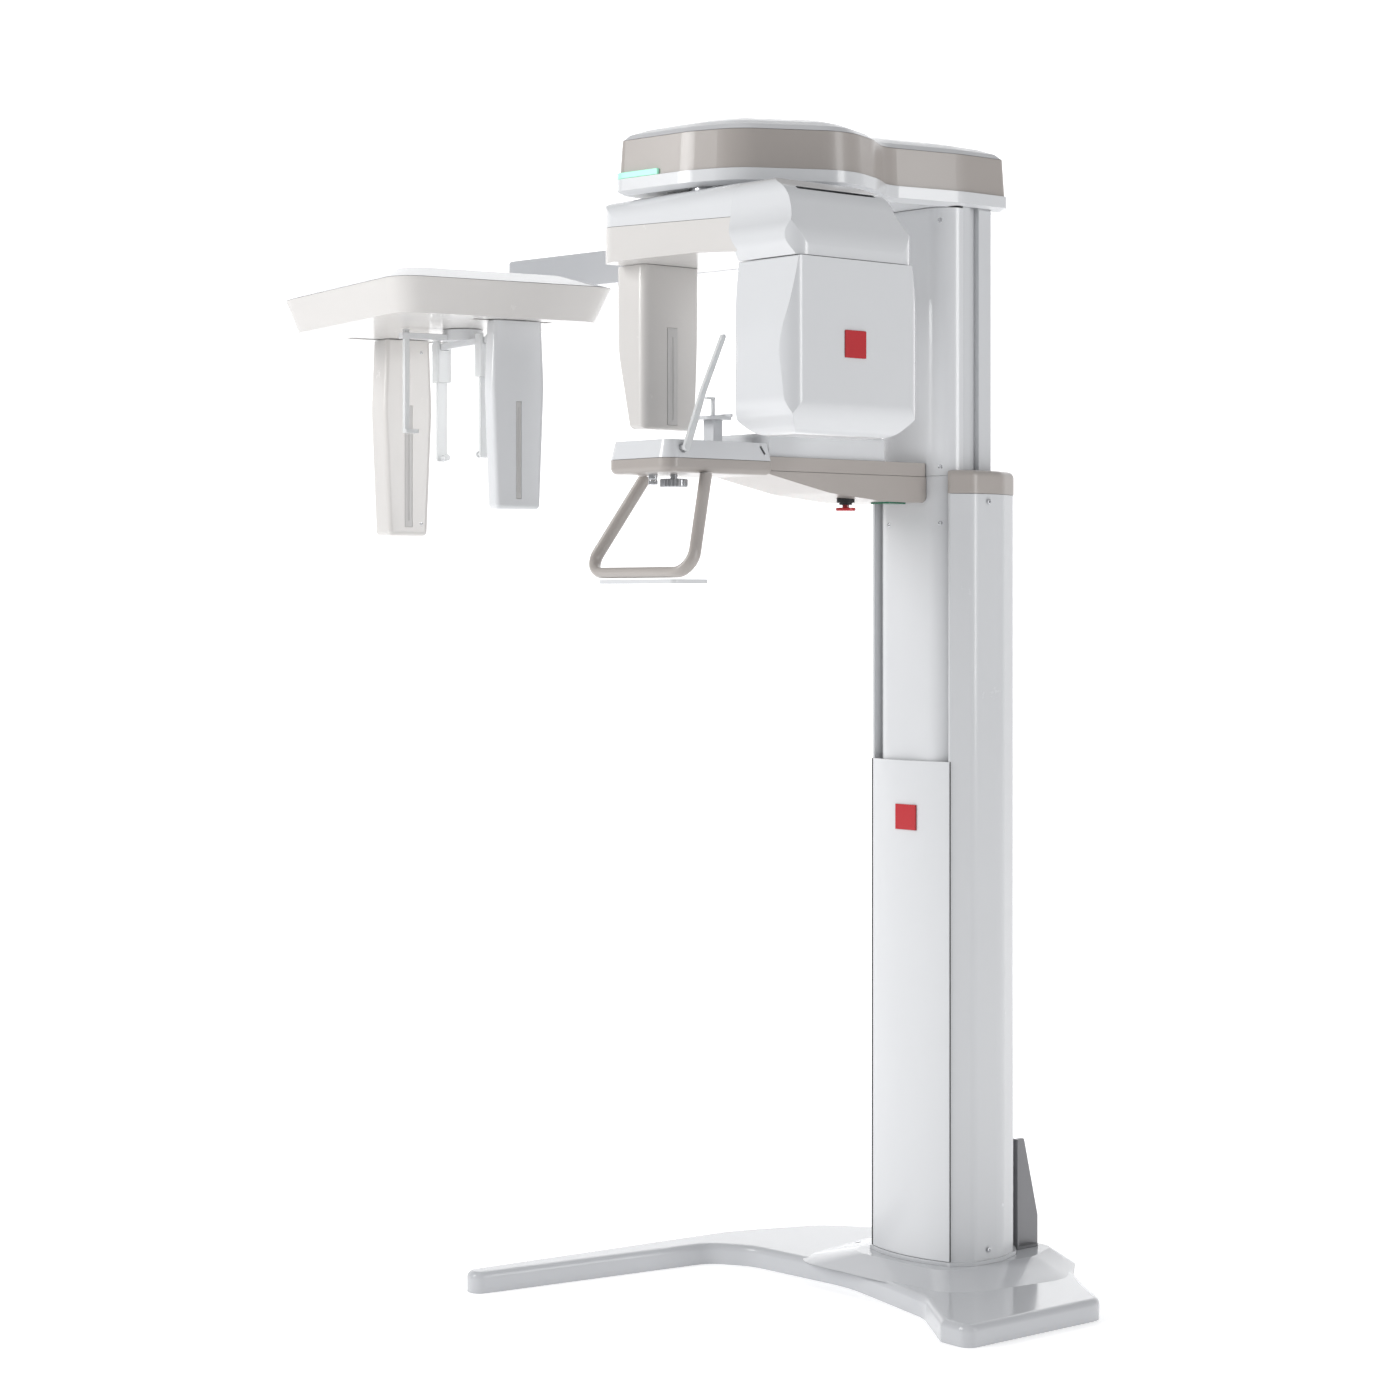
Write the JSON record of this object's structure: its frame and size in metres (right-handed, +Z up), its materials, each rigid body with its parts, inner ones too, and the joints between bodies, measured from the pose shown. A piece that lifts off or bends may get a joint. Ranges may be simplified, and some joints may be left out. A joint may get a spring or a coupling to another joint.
{
  "type": "panoramic dental x-ray machine",
  "caption": "Floor-standing panoramic x-ray machine with a telescoping column, a rotating C-arm, a chin rest arm and a side cephalometric unit.",
  "frame": {"origin": "on the floor under the fixed column, at the underside of the base plate", "axes": "+Z up; -Y towards the patient's place; +X towards the x-ray tube; the cephalometric unit is on -X"},
  "size_m": [1.9064, 0.9354, 2.096],
  "materials": {
    "white_paint": "gloss",
    "white_gloss": "gloss",
    "grey_metal": "satin",
    "taupe": "satin",
    "warm_white": "gloss",
    "white_alloy": "gloss",
    "roof_grey": "satin",
    "red_gloss": "gloss",
    "black_plastic": "matte",
    "steel": "brushed",
    "bronze": "satin",
    "cast_alloy": "satin",
    "mint_lens": "gloss",
    "green_lens": "gloss",
    "clear_plastic": "gloss",
    "window_pale": "satin"
  },
  "bodies": {
    "stand": {"base_plate": "white_paint", "fixed_column": "white_alloy", "fixed_front_cover": "white_gloss", "column_cap": "taupe", "column_badge": "red_gloss", "gusset_brackets": "grey_metal", "guide_rails": "steel", "lift_motor": "cast_alloy", "power_inlet": "black_plastic"},
    "power_switch": {"power_switch": "black_plastic"},
    "lift_screw": {"lift_screw": "steel"},
    "lift": {"moving_column": "white_alloy", "moving_cover_lower": "white_gloss", "moving_cover_upper": "white_gloss", "lift_nut": "bronze", "guide_blocks": "cast_alloy", "arm_frame": "steel", "arm_lower_cover": "taupe", "arm_side_band": "taupe", "arm_console": "white_gloss", "table_lower_shell": "taupe", "table_upper_shell": "white_gloss", "handle_loop": "taupe", "handle_plate": "white_gloss", "stop_collar": "black_plastic", "arm_light": "green_lens", "housing_rim": "white_gloss", "housing_band": "taupe", "housing_roof": "roof_grey", "status_light": "mint_lens", "housing_frame": "steel", "slew_bearing": "steel", "slew_motor": "cast_alloy", "ceph_boom": "white_paint", "hood_lower": "warm_white", "hood_upper": "white_gloss"},
    "lift_rocker": {"lift_rocker": "black_plastic"},
    "chin_rest": {"chin_rest": "white_gloss"},
    "bite_stick": {"bite_stick": "clear_plastic"},
    "temple_rod_right": {"temple_rod_right": "clear_plastic"},
    "temple_rod_left": {"temple_rod_left": "clear_plastic"},
    "temple_knob": {"temple_knob": "steel"},
    "stop_button": {"stop_button": "red_gloss"},
    "turntable": {"slew_spindle": "steel"},
    "c_arm": {"cross_rods": "steel", "c_arm_upper_shell": "white_gloss", "c_arm_lower_shell": "warm_white", "sensor_housing": "warm_white", "sensor_window": "window_pale", "tubehead_top_cover": "white_gloss"},
    "generator": {"tubehead_cover": "white_gloss", "xray_tank": "cast_alloy", "tubehead_badge": "red_gloss"},
    "ceph_collimator": {"ceph_collimator": "white_gloss"},
    "ceph_sensor": {"ceph_sensor": "warm_white"},
    "ear_hub": {"ear_hub": "white_gloss"},
    "ear_arm_near": {"ear_arm_near": "clear_plastic"},
    "ear_arm_far": {"ear_arm_far": "clear_plastic"},
    "nasion_rod": {"nasion_rod": "clear_plastic"}
  },
  "joints": [
    {"name": "lift_travel", "type": "slide", "parent": "stand", "child": "lift", "axis": [0, 0, 1], "range_m": [-0.4, 0.25]},
    {"name": "screw_spin", "type": "hinge", "parent": "stand", "child": "lift_screw", "pos_m": [0, 0.036, 0.5], "axis": [0, 0, 1], "range_deg": [-14400, 9000]},
    {"name": "turntable_spin", "type": "hinge", "parent": "lift", "child": "turntable", "pos_m": [-0.0285, -0.58, 1.985], "axis": [0, 0, 1], "range_deg": [-200, 20]},
    {"name": "cross_slide", "type": "slide", "parent": "turntable", "child": "c_arm", "axis": [0, 1, 0], "range_m": [-0.062, 0]},
    {"name": "generator_swivel", "type": "hinge", "parent": "c_arm", "child": "generator", "pos_m": [0.215, -0.514, 1.828], "axis": [0, 0, 1], "range_deg": [-10, 0]},
    {"name": "temple_right_fold", "type": "hinge", "parent": "lift", "child": "temple_rod_right", "pos_m": [0.05, -0.706, 1.515], "axis": [1, 0, 0], "range_deg": [-58, 0]},
    {"name": "temple_left_fold", "type": "hinge", "parent": "lift", "child": "temple_rod_left", "pos_m": [-0.09, -0.706, 1.515], "axis": [1, 0, 0], "range_deg": [0, 69]},
    {"name": "temple_lock_turn", "type": "hinge", "parent": "lift", "child": "temple_knob", "pos_m": [-0.025, -0.655, 1.459], "axis": [0, 0, 1], "continuous": true},
    {"name": "chin_rest_height", "type": "slide", "parent": "lift", "child": "chin_rest", "axis": [0, 0, 1], "range_m": [0, 0.03]},
    {"name": "bite_stick_height", "type": "slide", "parent": "chin_rest", "child": "bite_stick", "axis": [0, 0, 1], "range_m": [0, 0.025]},
    {"name": "stop_press", "type": "slide", "parent": "lift", "child": "stop_button", "axis": [0, 0, 1], "range_m": [0, 0.004], "stiffness_N_per_m": 900, "springref_m": -0.002},
    {"name": "lift_rocker_tilt", "type": "hinge", "parent": "lift", "child": "lift_rocker", "pos_m": [0.02, -0.26, 1.546], "axis": [1, 0, 0], "range_deg": [-5, 5], "stiffness_Nm_per_rad": 0.5},
    {"name": "power_switch_tilt", "type": "hinge", "parent": "stand", "child": "power_switch", "pos_m": [0.018, 0.089, 0.123], "axis": [1, 0, 0], "range_deg": [-6, 6]},
    {"name": "ceph_sensor_scan", "type": "slide", "parent": "lift", "child": "ceph_sensor", "axis": [0.1736, 0.9848, 0], "range_m": [-0.095, 0.08]},
    {"name": "ceph_collimator_scan", "type": "slide", "parent": "lift", "child": "ceph_collimator", "axis": [0.1736, 0.9848, 0], "range_m": [-0.0652, 0.0549]},
    {"name": "ear_hub_turn", "type": "hinge", "parent": "lift", "child": "ear_hub", "pos_m": [-1.1489, -0.2733, 1.81], "axis": [0, 0, 1], "range_deg": [-90, 90]},
    {"name": "ear_far_slide", "type": "slide", "parent": "ear_hub", "child": "ear_arm_far", "axis": [-0.9848, 0.1736, 0], "range_m": [-0.02, 0.02]},
    {"name": "ear_near_slide", "type": "slide", "parent": "ear_hub", "child": "ear_arm_near", "axis": [-0.9848, 0.1736, 0], "range_m": [-0.02, 0.02]},
    {"name": "nasion_height", "type": "slide", "parent": "ear_hub", "child": "nasion_rod", "axis": [0, 0, 1], "range_m": [-0.04, 0]}
  ],
  "couplings": [
    {"joint": "screw_spin", "follows": "lift_travel", "rad_per_m": 628.32},
    {"joint": "ceph_collimator_scan", "follows": "ceph_sensor_scan", "ratio": 0.686},
    {"joint": "ear_near_slide", "follows": "ear_far_slide", "ratio": -1}
  ]
}
